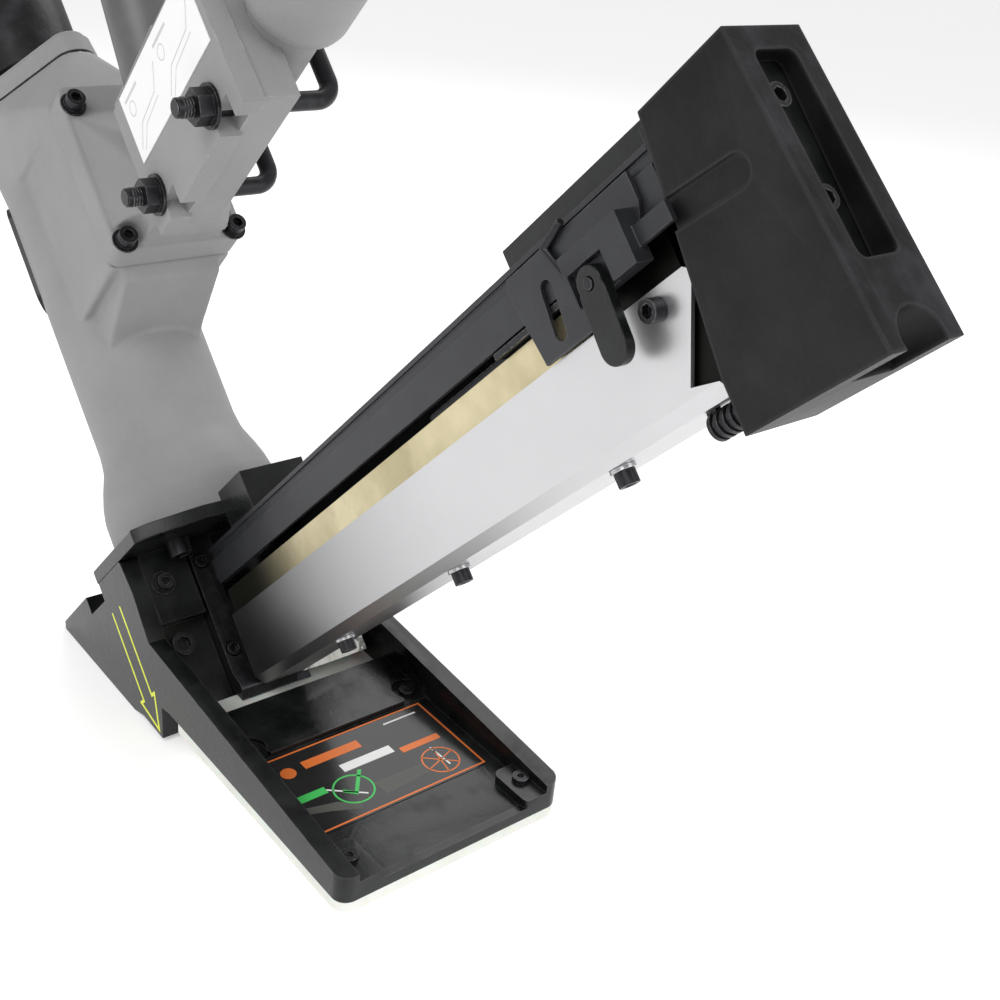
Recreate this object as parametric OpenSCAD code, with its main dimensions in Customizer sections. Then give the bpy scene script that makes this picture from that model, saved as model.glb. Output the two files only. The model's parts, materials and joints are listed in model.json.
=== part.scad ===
// Pneumatic flooring nailer, struck with a mallet, on a flat base.
// The floor is z = 0 and the back of the tool is +X.
// Parts above the base are drawn in the tool frame: x runs up the magazine,
// z runs up the driver and y = 0 is the driver's own plane.

/* [Base] */
// Width of the base and sole
base_w = 120; // [114:1:124]
// Thickness of the plastic sole
sole_t = 5.5; // [4:0.5:5.5]
// Thickness of each side rail
rail_w = 9; // [7:0.5:10]
// Height of the deck above the floor
deck_top = 10; // [9:0.5:11]
// Height of the ridge above the floor
ridge_top = 13; // [12:0.5:15]

/* [Body] */
// Outer radius of the cylinder housing
tube_r = 37; // [35:0.5:39]
// Radius of the flared foot of the housing
flare_r = 46; // [42:1:48]
// Radius of the cylinder bore
bore_r = 25; // [23:0.5:25.5]
// Stroke of the driver
stroke = 64; // [50:1:64]
// Half width of the hopper box
hopper_hw = 32; // [30:1:33]
// Radius of the strike cap
strike_r = 30; // [29:0.5:33]
// Travel of the strike cap
strike_travel = 7; // [4:0.5:7]

/* [Handle] */
// Outer radius of the handle tube
grip_r = 17; // [15:0.5:17]
// Radius of the rounded end cap
end_r = 22.7; // [21:0.1:25]
// Radius of the extension tube
ext_r = 16; // [12:0.5:16]
// Length of the extension tube
ext_l = 260; // [180:5:320]

/* [Magazine] */
// Half width of the magazine
mag_hw = 13; // [13:0.5:14]
// Height of the top of the magazine rail
mag_top = 79; // [79:0.5:80]
// Back end of the magazine rail
mag_end = 398; // [390:1:400]
// Half width of the rubber boot
boot_hw = 15.5; // [15.5:0.5:18]

/* [Hidden] */
$fn = 48;
lean = 45;
exit_at = [-80.5, -5, -7];
fit = 0.05;
gap = 0.3;
sole_x = [-76, 75];
in_hw = base_w / 2 - rail_w;
base_screws_at = [[-27, -45], [-27, 45], [61, -47], [61, 47]];
side = 5;
web_a = 9;
nose_lo = in_hw * -1 + side + gap;
nose_hi = in_hw + side - gap;
flange_c = [87, 94];
joint_c = 343;
cap_c = 356;
strike_c = 364;
strike_top = 428;
handle_c = 232;
flange_screws_at = [[-28.5, 218], [28.5, 218], [-28.5, 292], [28.5, 292]];
hooks_at = [[157, 207.5], [225, 206.5]];
hook_top = 47;
bolt_a = [111, 218, 327];
boot_floor = 434.4;
boot_screws_b = -3.7;
boot_screws_c = [66.9, 36.8];
head_r = 40;
cap_screw_r = 33;
lobe = [54, 12];
side_inset = 0.05;

// ---- helpers ----

// Places children in the tool frame
module tool() {
    translate(exit_at) rotate([0, -lean, 0]) children();
}

// Plate with round corners, from x0 to x1 and y0 to y1
module slab(x0, x1, y0, y1, h, r) {
    linear_extrude(h) union() {
        translate([x0 + r, y0]) square([x1 - x0 - 2 * r, y1 - y0]);
        translate([x0, y0 + r]) square([x1 - x0, y1 - y0 - 2 * r]);
        for (x = [x0 + r, x1 - r], y = [y0 + r, y1 - r]) translate([x, y]) circle(r);
    }
}

// Extrudes an outline drawn in x and z, from y = b0 to y = b1
module across(b0, b1) {
    translate([0, b1, 0]) rotate([90, 0, 0]) linear_extrude(b1 - b0) children();
}

// Extrudes an outline drawn in y and z, from x = a0 to x = a1
module along(a0, a1) {
    translate([a0, 0, 0]) rotate([90, 0, 90]) linear_extrude(a1 - a0) children();
}

// Rod of radius r along y
module rod_y(r, b0, b1) {
    translate([0, b0, 0]) rotate([-90, 0, 0]) cylinder(r = r, h = b1 - b0);
}

// Rod of radius r along x
module rod_x(r, a0, a1) {
    translate([a0, 0, 0]) rotate([0, 90, 0]) cylinder(r = r, h = a1 - a0);
}

// Socket screw of thread size d: seat at z = 0, head above it
module socket_screw(d, l) {
    difference() {
        union() {
            cylinder(r = 0.75 * d, h = d);
            translate([0, 0, -l]) cylinder(r = d / 2, h = l + 0.1);
        }
        translate([0, 0, 0.45 * d]) cylinder(r = 0.46 * d, h = d, $fn = 6);
    }
}

// Box given by its two corners
module block(p, q) {
    translate(p) cube(q - p);
}

// Drop-shaped plan of the head: a circle and a lobe toward the handle
module drop(r0, r1) {
    t = acos((r0 - r1) / lobe[0]);
    circle(r0);
    translate([lobe[0], 0]) circle(r1);
    in0 = r0 - side_inset;
    in1 = r1 - side_inset;
    polygon([[in0 * cos(t), in0 * sin(t)], [in0 * cos(t), -in0 * sin(t)],
        [lobe[0] + in1 * cos(t), -in1 * sin(t)], [lobe[0] + in1 * cos(t), in1 * sin(t)]]);
}

// Stadium outline of width w, centred at x = 0, from y0 to y1
module stadium(w, y0, y1) {
    translate([-w / 2, y0 + w / 2]) square([w, y1 - y0 - w]);
    for (y = [y0 + w / 2, y1 - w / 2]) translate([0, y]) circle(w / 2);
}

// Space of the floor board and the sole, kept clear of the nose
module board_room() {
    block([-86, -base_w, -60], [0, base_w, 0.4]);
    block([sole_x[0] - gap, -base_w, -60], [0, base_w, sole_t + gap]);
}

// ---- base ----

module sole_plate() {
    color("gainsboro") difference() {
        slab(sole_x[0], sole_x[1], -base_w / 2, base_w / 2, sole_t, 8);
        for (p = base_screws_at) translate([p[0], p[1], -1]) cylinder(r = 2.1, h = 10);
    }
}

// Side view of a cheek and its rail
module cheek_outline() {
    difference() {
        polygon([[-213, -17.5], [-119.5, -17.5], [-109, -14.5], [-87.5, -15], [-87.5, 4],
            [-80, sole_t], [75, sole_t], [75, 19], [-100, 35], [-116, 55], [-129.5, 65],
            [-133.5, 65], [-156, 43], [-175, 21]]);
        translate([-80.5, -7]) rotate(45) {
            translate([-48, 77]) square([26, 12]);
            translate([-48, flange_c[0] - gap]) square([100, 8]);
        }
    }
}

module base_frame() {
    color([0.08, 0.08, 0.08]) difference() {
        intersection() {
            union() {
                for (y = [-base_w / 2, in_hw]) across(y, y + rail_w) cheek_outline();
                block([-57, -in_hw - 1, sole_t], [75, in_hw + 1, deck_top]);
                block([-57, -in_hw - 1, sole_t], [-19, in_hw + 1, ridge_top]);
                block([71, -in_hw - 1, sole_t], [75, in_hw + 1, deck_top + 1]);
                for (s = [-1, 1]) translate([0, 50 * s, 0]) slab(50, 76, -11, 11, 15, 4);
                across(-in_hw - 1, in_hw + 1) polygon([[-87.5, -15], [-87.5, -12.9],
                    [-126, 26.7], [-137.1, 15.6], [-118, -3.5], [-119.5, -17.5], [-109, -14.5]]);
            }
            translate([0, 0, -20]) slab(-214, sole_x[1], -base_w / 2, base_w / 2, 100, 7);
        }
        block([sole_x[0] - gap, -base_w, -30], [100, base_w, sole_t]);
        for (s = [-1, 1]) translate([-27, 45 * s, deck_top + 0.5]) cylinder(r = 8, h = 5);
        for (s = [-1, 1]) translate([-18, 45 * s, deck_top + 0.5]) cylinder(r = 7, h = 5);
        for (p = base_screws_at) translate([p[0], p[1], 0]) cylinder(r = 2.1, h = 30);
        for (y = [-43, 43]) tool() translate([0, y + side, 38]) rod_x(4.1, -30, 0);
    }
}

module base_screws() {
    color("dimgray") for (i = [0:3]) {
        z = i < 2 ? deck_top + 0.5 : 15;
        translate([base_screws_at[i][0], base_screws_at[i][1], z]) difference() {
            union() {
                cylinder(r = 4, h = 2.2);
                translate([0, 0, 1 - z]) cylinder(r = 2, h = z);
            }
            translate([0, 0, 1]) cylinder(r = 1.8, h = 3, $fn = 6);
        }
    }
}

module base_label() {
    color("black") translate([0, 0, deck_top]) slab(-17.5, 39, -47, 46, 0.3, 2);
}

// ---- nose ----

module nose_casting() {
    color([0.09, 0.1, 0.1]) difference() {
        tool() difference() {
            union() {
                block([-8, nose_lo, 0], [web_a, nose_hi, 87]);
                block([-46, nose_lo, 66], [web_a, nose_hi, 87]);
                for (y = [nose_lo, 31]) block([0, y, 50], [17, y + 24, 87]);
                block([0, 22, 8], [17, 46, 26]);
                }
            block([-6.1, -20.3, -10], [30, 20.3, 88]);
            for (y = [-43, 43]) translate([0, y + side, 38]) rod_x(4.1, -30, 30);
            for (y = [-43, 43]) translate([0, y + side, 70]) rod_x(2.5, 0, 30);
            for (y = [27, 41]) translate([0, y, 17]) rod_x(2.5, 5, 30);
            for (a = [-27.2], b = [-27.2, 27.2]) translate([a, b, 60]) cylinder(r = 4.1, h = 30);
            block([-38, -12, 60], [-14, 22, 80]);
        }
        board_room();
    }
}

module nose_bolts() {
    color([0.1, 0.1, 0.1]) tool() for (y = [-43, 43])
        translate([web_a, y + side, 38]) rotate([0, 90, 0]) socket_screw(8, 25);
}

module nose_screws() {
    color([0.1, 0.1, 0.1]) tool() for (y = [-43, 43])
        translate([17, y + side, 70]) rotate([0, 90, 0]) union() {
            cylinder(r = 6, h = 1);
            socket_screw(5, 12);
        }
}

module guide_plate_rear() {
    color("dimgray") difference() {
        tool() difference() {
            union() {
                block([-1.1, -20, 0], [17, 20, 87]);
                across(-20, 12) polygon([[17, 2], [21, 6], [21, 9], [17, 16]]);
            }
            block([-2, -6.45, -5], [1.1, 6.45, 90]);
            block([0, -8.2, 9.5], [30, 8.2, 63]);
            for (y = [-14.5, 14.5], z = [28, 76]) translate([0, y, z]) {
                rod_x(2.6, -10, 30);
                rod_x(4.2, 13, 30);
            }
        }
        board_room();
    }
}

module guide_plate_front() {
    color("gray") difference() {
        tool() difference() {
            block([-6, -20, -1], [-1.15, 20, 87]);
            for (y = [-14.5, 14.5], z = [28, 76]) translate([0, y, z]) rod_x(2.6, -10, 30);
        }
        board_room();
    }
}

module guide_bolts() {
    color([0.12, 0.12, 0.12]) tool() for (y = [-14.5, 14.5], z = [28, 76])
        translate([13, y, z]) rotate([0, 90, 0]) socket_screw(5, 18);
}

module chip_guard() {
    color("lightgray") tool() difference() {
        translate([77.5, 33, 5]) rotate([0, 0, 160]) rotate_extrude(angle = 40)
            translate([59, 0]) square([1.2, 27]);
        for (y = [27, 41]) translate([0, y, 17]) rod_x(2.8, 5, 30);
    }
}

module guard_screws() {
    color([0.12, 0.12, 0.12]) tool() for (y = [27, 41])
        translate([20, y, 17]) rotate([0, 90, 0]) socket_screw(5, 11);
}

module nose_flange() {
    color([0.1, 0.1, 0.1]) tool() difference() {
        translate([0, 0, flange_c[0]]) linear_extrude(flange_c[1] - flange_c[0])
            polygon([[-24, -55], [44, -55], [50, -48], [58, -22], [58, 32], [50, 58], [44, 65],
                [-24, 65], [-50, 40], [-50, -30]]);
        translate([0, 0, 80]) cylinder(r = 9, h = 20);
        for (a = [-27.2, 27.2], b = [-27.2, 27.2]) translate([a, b, 80]) cylinder(r = 4.1, h = 20);
    }
}

module flange_bolts() {
    color([0.12, 0.12, 0.12]) tool() for (a = [-27.2, 27.2], b = [-27.2, 27.2])
        translate([a, b, a < 0 ? 66 : 87]) rotate([180, 0, 0])
            socket_screw(8, a < 0 ? 43 : 22);
}

// ---- body ----

module housing_shell() {
    rotate_extrude() polygon([[0, 94], [flare_r, 94], [flare_r, 114], [flare_r - 1.5, 122],
        [flare_r - 4, 130], [tube_r + 1.2, 140], [tube_r, 150], [tube_r, 303], [0, 303]]);
    block([0, -hopper_hw, 213], [78, hopper_hw, 303]);
    across(-hopper_hw + 6, hopper_hw - 6) polygon([[0, 180], [36, 196], [74, 207], [78, 214], [0, 214]]);
    hull() {
        translate([0, 0, 341]) linear_extrude(2) drop(head_r, lobe[1]);
        block([40, -hopper_hw, 298], [78, hopper_hw, 303]);
        translate([0, 0, 300]) cylinder(r = tube_r, h = 3);
    }
}

module badge_place() {
    rotate([0, 0, -121.8]) translate([tube_r - 1.8, 0, 0]) rotate([90, 0, 90]) children();
}

module main_housing() {
    color([0.58, 0.58, 0.58]) tool() difference() {
        housing_shell();
        translate([0, 0, 190]) cylinder(r = bore_r + 2.6, h = 160);
        translate([0, 0, 90]) cylinder(r = 14, h = 110);
        block([40, -26, 219], [72, 26, 295]);
        translate([0, 0, handle_c]) rod_x(13, 60, 80);
        translate([0, 0, 288]) rod_x(5, 20, 50);
        badge_place() linear_extrude(9) stadium(20, 238, 302);
        for (p = flange_screws_at) translate([0, p[0], p[1]]) rod_x(3.1, 60, 80);
        for (a = [-27.2, 27.2], b = [-27.2, 27.2]) translate([a, b, 90]) cylinder(r = 4.1, h = 20);
        for (t = [55, 125, 235, 305]) rotate([0, 0, t]) translate([cap_screw_r, 0, 325])
            cylinder(r = 3.1, h = 20);
    }
}

module side_badge() {
    color([0.2, 0.2, 0.2]) tool() badge_place() difference() {
        linear_extrude(2.6) stadium(19.6, 238.2, 301.8);
        translate([0, 0, 2.1]) linear_extrude(2) stadium(16, 240, 300);
    }
}

module cylinder_sleeve() {
    color("silver") tool() translate([0, 0, 190]) difference() {
        cylinder(r = bore_r + 2.5, h = 112);
        translate([0, 0, -1]) cylinder(r = bore_r, h = 120);
    }
}

module bumper() {
    color([0.15, 0.15, 0.15]) tool() rotate_extrude()
        polygon([[8, 190], [bore_r - 0.4, 190], [bore_r - 0.4, 212], [18, 220.5], [8, 220.5]]);
}

module head_gasket() {
    color([0.1, 0.1, 0.1]) tool() translate([0, 0, joint_c]) difference() {
        linear_extrude(0.8) drop(head_r - 0.6, lobe[1] - 0.6);
        translate([0, 0, -1]) cylinder(r = bore_r + 2.6, h = 3);
        for (t = [55, 125, 235, 305]) rotate([0, 0, t]) translate([cap_screw_r, 0, -1])
            cylinder(r = 3.1, h = 9);
    }
}

module head_cap() {
    color([0.58, 0.58, 0.58]) tool() difference() {
        union() {
            translate([0, 0, joint_c + 0.8]) linear_extrude(9) drop(head_r, lobe[1]);
            translate([0, 0, joint_c + 9.8]) linear_extrude(cap_c - joint_c - 9.8)
                drop(head_r - 2, lobe[1] - 2);
            translate([0, 0, cap_c - 1]) cylinder(r = 26.5, h = 41);
        }
        translate([0, 0, 330]) cylinder(r = 8 + fit, h = 80);
        translate([0, 0, 388]) cylinder(r = 14, h = 20);
        for (t = [55, 125, 235, 305]) rotate([0, 0, t]) translate([cap_screw_r, 0, 335]) {
            cylinder(r = 3.1, h = 30);
            translate([0, 0, 14.4]) cylinder(r = 4.6, h = 20);
        }
    }
}

module head_cap_screws() {
    color([0.15, 0.15, 0.15]) tool() for (t = [55, 125, 235, 305])
        rotate([0, 0, t]) translate([cap_screw_r, 0, 349.4]) socket_screw(6, 20);
}

module piston() {
    color("silver") tool() difference() {
        translate([0, 0, 285]) cylinder(r = bore_r - fit, h = 14);
        translate([0, 0, 290]) difference() {
            cylinder(r = bore_r + 1, h = 4);
            translate([0, 0, -1]) cylinder(r = bore_r - 2.5, h = 6);
        }
        block([-1, -6.4, 280], [1, 6.4, 289.9]);
    }
}

module piston_ring() {
    color([0.1, 0.1, 0.1]) tool() translate([0, 0, 290.1]) difference() {
        cylinder(r = bore_r - 0.03, h = 3.8);
        translate([0, 0, -1]) cylinder(r = bore_r - 2.4, h = 6);
    }
}

module driver_blade() {
    color("lightgray") tool() block([-0.9, -6.3, 62.5], [0.9, 6.3, 289.8]);
}

module strike_cap() {
    color([0.14, 0.14, 0.14]) tool() rotate_extrude()
        polygon([[0, strike_top - 10], [27, strike_top - 10], [27, strike_c],
            [strike_r - 1, strike_c], [strike_r, strike_c + 1], [strike_r, strike_top - 6],
            [strike_r - 2, strike_top - 2], [strike_r - 7, strike_top], [0, strike_top]]);
}

module plunger() {
    color("silver") tool() difference() {
        union() {
            translate([0, 0, 325]) cylinder(r = 18, h = 7);
            translate([0, 0, 325]) cylinder(r = 8, h = strike_top - 10 - 325);
        }
        translate([0, 0, 327]) difference() {
            cylinder(r = 20, h = 3);
            translate([0, 0, -1]) cylinder(r = 16, h = 5);
        }
    }
}

module plunger_seal() {
    color([0.1, 0.1, 0.1]) tool() translate([0, 0, 327.1]) difference() {
        cylinder(r = 18.4, h = 2.8);
        translate([0, 0, -1]) cylinder(r = 16.1, h = 5);
    }
}

// Coil of wire radius r and coil radius rc along z, from z0 to z1
function coil_point(k, n, turns, rc, z0, z1) = let (t = 360 * turns * k / n)
    [rc * cos(t), rc * sin(t), z0 + (z1 - z0) * k / n];

module coil(r, rc, z0, z1, turns) {
    rings = round(turns * 16);
    sides = 8;
    pts = [for (k = [0:rings], j = [0:sides - 1]) let (p = coil_point(k, rings, turns, rc, z0, z1),
        t = 360 * turns * k / rings, e = 360 * j / sides)
        p + r * [cos(e) * cos(t), cos(e) * sin(t), sin(e)]];
    polyhedron(pts, concat([[for (j = [0:sides - 1]) j]],
        [for (k = [0:rings - 1], j = [0:sides - 1]) let (m = (j + 1) % sides)
            [k * sides + m, k * sides + j, (k + 1) * sides + j, (k + 1) * sides + m]],
        [[for (j = [sides - 1:-1:0]) rings * sides + j]]));
}

module plunger_spring() {
    color("gray") tool() coil(1.1, 11, 397.3, strike_top - 11.3, 4.5);
}

// ---- handle ----

module handle_housing() {
    color([0.58, 0.58, 0.58]) tool() difference() {
        union() {
            along(78.8, 96) translate([0, 258]) offset_square(hopper_hw * 2 + 4, 90, 6);
            hull() {
                block([94, -hopper_hw + 1, 216], [96.5, hopper_hw - 1, 286]);
                translate([0, 0, handle_c]) rod_x(grip_r + 1, 122, 124);
            }
            translate([0, 0, handle_c]) rod_x(grip_r, 100, 258);
        }
        translate([0, 0, handle_c]) rod_x(13, 70, 260);
        for (p = flange_screws_at) translate([0, p[0], p[1]]) {
            rod_x(3.1, 70, 100);
            rod_x(7.5, 96, 140);
        }
    }
}

// Rectangle w by h with corners of radius r, centred
module offset_square(w, h, r) {
    square([w - 2 * r, h], center = true);
    square([w, h - 2 * r], center = true);
    for (x = [-1, 1], y = [-1, 1]) translate([x * (w / 2 - r), y * (h / 2 - r)]) circle(r);
}

module handle_gasket() {
    color([0.1, 0.1, 0.1]) tool() difference() {
        along(78, 78.8) translate([0, 258]) offset_square(hopper_hw * 2 - 2, 88, 5);
        translate([0, 0, handle_c]) rod_x(13, 70, 90);
        for (p = flange_screws_at) translate([0, p[0], p[1]]) rod_x(3.1, 70, 100);
    }
}

module flange_screws() {
    color([0.1, 0.1, 0.1]) tool() for (p = flange_screws_at)
        translate([96, p[0], p[1]]) rotate([0, 90, 0]) union() {
            difference() {
                cylinder(r = 6.2, h = 1);
                translate([0, 0, -1]) cylinder(r = 2.5, h = 3);
            }
            translate([0, 0, 1]) socket_screw(6, 28);
        }
}

module end_cap() {
    color([0.62, 0.62, 0.62]) tool() translate([0, 0, handle_c]) rotate([0, 90, 0])
        rotate_extrude() polygon([[grip_r + 0.1, 252], [end_r - 4, 252], [end_r - 1, 254],
            [end_r, 258], [end_r, 284], [end_r - 1, 288], [end_r - 4, 291], [12, 292],
            [6.6, 292], [6.6, 272], [13, 272], [13, 258.1], [grip_r + 0.1, 258.1]]);
}

module air_plug() {
    color("goldenrod") tool() translate([0, 0, handle_c]) difference() {
        union() {
            rod_x(6.55, 276, 293);
            translate([292, 0, 0]) rotate([0, 90, 0]) cylinder(r = 8.5, h = 7, $fn = 6);
            rod_x(4.2, 298, 324);
            rod_x(6, 298, 304);
            rod_x(6, 310, 318);
        }
        rod_x(3, 270, 330);
    }
}

module clamp_bracket() {
    color([0.64, 0.64, 0.64]) tool() difference() {
        union() {
            across(-35, -25) polygon([[146, 194], [160, 194], [160, 203], [173, 203], [173, 194],
                [223, 194], [223, 203], [239, 203], [239, 193], [248, 193], [246, 256], [146, 256]]);
            across(-35, 14) polygon([[119.5, 259], [150, 256], [246, 256], [246, 268], [167, 268],
                [167, 285], [119.5, 285]]);
            block([150, -26, 196], [246, -8, 257]);
        }
        translate([0, 0, handle_c]) rod_x(grip_r + 0.1, 100, 260);
        across(-60, -20) translate([100, 0]) square([46, 300]);
        translate([0, -35, 256]) rotate([-36.9, 0, 0]) block([100, -30, 0], [260, 0, 40]);
        for (h = hooks_at) translate([h[0], 0, h[1]]) rod_y(4.1, -60, 0);
        for (h = hooks_at) translate([h[0], 0, h[1] + hook_top]) rod_y(4.1, 3, 20);
        ext_axis() cylinder(r = ext_r + fit, h = ext_l);
    }
}

module bracket_label() {
    color("white") tool() across(-35.4, -35) polygon([[156, 223.5], [243, 223.5], [243, 255.5], [156, 255.5]]);
}

// Square-bend hook round the handle tube: leg, two bends and the hook's end
module hook_bolt() {
    back = 22;
    bend = 9;
    rod_y(4, -50, back - bend);
    translate([0, back - bend, bend]) rotate([0, 90, 0])
        rotate_extrude(angle = 90) translate([bend, 0]) circle(4);
    translate([0, back, bend]) cylinder(r = 4, h = hook_top - 2 * bend);
    translate([0, back - bend, hook_top - bend]) rotate([0, -90, 180]) rotate([0, 0, -90])
        rotate_extrude(angle = 90) translate([bend, 0]) circle(4);
    translate([0, 0, hook_top]) rod_y(4, 4, back - bend);
}

module hook_bolts() {
    color([0.18, 0.18, 0.18]) tool() for (h = hooks_at) translate([h[0], 0, h[1]]) hook_bolt();
}

module hook_nuts() {
    color([0.12, 0.12, 0.12]) tool() for (h = hooks_at) translate([h[0], -35, h[1]])
        rotate([90, 0, 0]) difference() {
            union() {
                cylinder(r = 9, h = 1.6);
                cylinder(r = 7.5, h = 8, $fn = 6);
            }
            translate([0, 0, -1]) cylinder(r = 4.02, h = 12);
        }
}

// Axis of the extension tube: leans back a little from the driver's direction
module ext_axis() {
    translate([138, -5, 262]) rotate([0, 13, 0]) children();
}

module extension_tube() {
    color([0.35, 0.35, 0.35]) tool() ext_axis() difference() {
        cylinder(r = ext_r, h = ext_l);
        translate([0, 0, -1]) cylinder(r = ext_r - 2, h = ext_l + 2);
    }
}

module extension_grip() {
    color([0.12, 0.12, 0.12]) tool() ext_axis() translate([0, 0, ext_l - 110]) rotate_extrude()
        polygon([[ext_r + 0.1, 0], [ext_r + 3, 0], [ext_r + 4, 2], [ext_r + 4, 110],
            [ext_r + 1, 115], [0, 115], [0, 110.2], [ext_r + 0.1, 110.2]]);
}

// ---- magazine ----

module rail_mount() {
    color([0.08, 0.08, 0.08]) tool() difference() {
        union() {
            block([17.2, -10, 64], [24.8, 10, 86.8]);
            block([24, -10, 60], [84, 10, 75]);
            block([58.4, -12, 79.2], [88, 22, 98]);
            block([58.4, 13.2, 20], [88, 22, 98]);
        }
        for (a = [66, 80]) translate([a, 0, 45]) rod_y(2.5, 0, 30);
    }
}

module magazine_rail() {
    color([0.27, 0.27, 0.29]) tool() along(25, mag_end) polygon([[-mag_hw, 60], [-10.5, 60],
        [-10.5, 75.2], [10.5, 75.2], [10.5, 9], [mag_hw, 9], [mag_hw, mag_top], [-12.5, mag_top],
        [-12.5, 77], [-11.3, 77], [-11.3, 73], [-mag_hw, 73]]);
}

module magazine_track() {
    color([0.78, 0.7, 0.5]) tool() difference() {
        along(25, 390) polygon([[-10.4, 56], [-8.9, 56], [-8.9, 11.5], [10.4, 11.5], [10.4, 7],
            [-8.8, 7], [-10.4, 9]]);
        for (a = bolt_a) translate([a, -4, 0]) cylinder(r = 2.6, h = 20);
        translate([378, 0, 37]) rod_y(2.6, -20, 0);
    }
}

module magazine_cover() {
    color([0.75, 0.75, 0.76]) tool() difference() {
        across(-mag_hw, mag_hw) polygon([[25, 5], [388, 5], [388, 9.5], [376.8, 12.3], [395.5, 40.8],
            [392.5, 43], [25, 43]]);
        along(0, 420) polygon([[-mag_hw + 1.6, 60], [-mag_hw + 1.6, 9.8], [-9, 6.9], [30, 6.9], [30, 60]]);
        along(0, 420) polygon([[-20, 9.5], [-mag_hw, 9.5], [-9, 5], [-9, 0], [-20, 0]]);
        for (a = bolt_a) translate([a, -4, 0]) cylinder(r = 2.6, h = 20);
        translate([378, 0, 37]) rod_y(2.6, -20, 0);
    }
}

module top_strip() {
    color([0.4, 0.4, 0.4]) tool() difference() {
        block([320, -9, mag_top], [402.5, 9, 87]);
        block([318, -6, mag_top - 1], [410, 6, 84]);
    }
}

module cover_bolts() {
    color([0.1, 0.1, 0.1]) tool() for (a = bolt_a) translate([a, -4, 3.4]) rotate([180, 0, 0])
        socket_screw(5, 8.1);
}

module lock_washers() {
    color("dimgray") tool() for (a = bolt_a) translate([a, -4, 3.4]) difference() {
        cylinder(r = 4.6, h = 1.6);
        translate([0, 0, -1]) cylinder(r = 2.6, h = 4);
    }
}

module side_bolt() {
    color([0.1, 0.1, 0.1]) tool() translate([378, -mag_hw, 37]) rotate([90, 0, 0])
        socket_screw(5, 4);
}

module knurled_screw() {
    color([0.12, 0.12, 0.12]) tool() translate([0, -4, 0]) union() {
        rod_x(3.4, 371, 386);
        for (i = [0:4]) translate([372 + 3 * i, 0, 0]) rod_x(4.6, 0, 1.5);
        block([371, -1.5, 2], [375, 1.5, 5]);
    }
}

module end_bracket() {
    color([0.16, 0.16, 0.17]) tool() difference() {
        block([mag_end + 0.2, -12.6, 7.5], [boot_floor - 0.2, 12.6, 83.5]);
        block([mag_end - 2, -9.5, mag_top - gap], [404, 9.5, 90]);
        for (z = boot_screws_c) translate([0, boot_screws_b, z]) rod_x(2.6, 405, 440);
    }
}

module rubber_boot() {
    color([0.13, 0.13, 0.13]) tool() difference() {
        across(-boot_hw, boot_hw) polygon([[391, 9], [390.5, -8.2], [444.5, -8.5], [440, 87], [403, 86]]);
        block([300, -13.1, 7], [boot_floor, 13.1, 84]);
        block([300, -9.5, 70], [404, 9.5, 90]);
        along(boot_floor - 1, 450) translate([0, 48.5]) offset_square(16.4, 62, 3);
        across(-boot_hw - 1, -boot_hw + 1.3) translate([390, 57]) rotate(-95.5)
            stadium(9.4, -10, 40);
        translate([0, 0, -6]) rod_x(9, 425, 450);
    }
}

module boot_screws() {
    color([0.2, 0.2, 0.2]) tool() for (z = boot_screws_c) translate([boot_floor - 0.2, boot_screws_b, z])
        rotate([0, 90, 0]) socket_screw(5, 20);
}

// ---- pusher ----

module pusher_foot() {
    color("dimgray") tool() union() {
        block([244, -7.8, 12.5], [330, 7.8, 59]);
        block([330, -8.3, 56.9], [344, 7.8, 59.1]);
        block([300, -13.3, 56.9], [344, -7, 59.1]);
    }
}

module pusher_plate() {
    color([0.3, 0.3, 0.32]) tool() difference() {
        across(-14.8, -13.3) polygon([[325, 43.5], [354, 43.5], [354, 59], [386, 59],
            [389.5, 66], [389.5, 75.5], [323, 75.5], [321, 72]]);
        across(-20, -10) translate([337, 48]) rotate(-8) stadium(6, -1, 19);
    }
}

module pusher_block() {
    color([0.36, 0.36, 0.38]) tool() difference() {
        union() {
            block([356, -22, 49], [386, -14.8, 66]);
            block([385, -18, 53.5], [401, -15.7, 60]);
        }
        block([357.4, -30, 40], [374.6, -18.9, 59.5]);
        translate([366, 0, 53]) rod_y(2 + fit, -30, -14);
    }
}

module wire_hook() {
    color([0.12, 0.12, 0.12]) tool() translate([0, -16.2, 0]) union() {
        translate([347, 0, 74]) rotate([0, 160, 0]) cylinder(r = 1.3, h = 14);
        translate([351.8, 0, 60.8]) sphere(r = 1.4);
        translate([347, 0, 74]) sphere(r = 1.4);
        translate([347, 0, 74]) rotate([0, 75, 0]) cylinder(r = 1.3, h = 12);
    }
}

module lever_pin() {
    color("silver") tool() translate([366, 0, 53]) rod_y(2, -23.5, -14.8);
}

module pusher_lever() {
    color([0.1, 0.1, 0.1]) tool() difference() {
        across(-23, -19.2) translate([366, 53]) rotate(-4) union() {
            circle(5.5);
            translate([0, -26]) stadium(12, 0, 28);
        }
        translate([366, 0, 53]) rod_y(2 + fit, -30, -14);
    }
}
sole_plate();
base_frame();
base_screws();
base_label();
nose_casting();
nose_bolts();
nose_screws();
guide_plate_rear();
guide_plate_front();
guide_bolts();
chip_guard();
guard_screws();
nose_flange();
flange_bolts();
main_housing();
side_badge();
cylinder_sleeve();
bumper();
head_gasket();
head_cap();
head_cap_screws();
piston();
piston_ring();
driver_blade();
strike_cap();
plunger();
plunger_seal();
plunger_spring();
handle_housing();
handle_gasket();
flange_screws();
end_cap();
air_plug();
clamp_bracket();
bracket_label();
hook_bolts();
hook_nuts();
extension_tube();
extension_grip();
rail_mount();
magazine_rail();
magazine_track();
magazine_cover();
top_strip();
cover_bolts();
lock_washers();
side_bolt();
knurled_screw();
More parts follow.
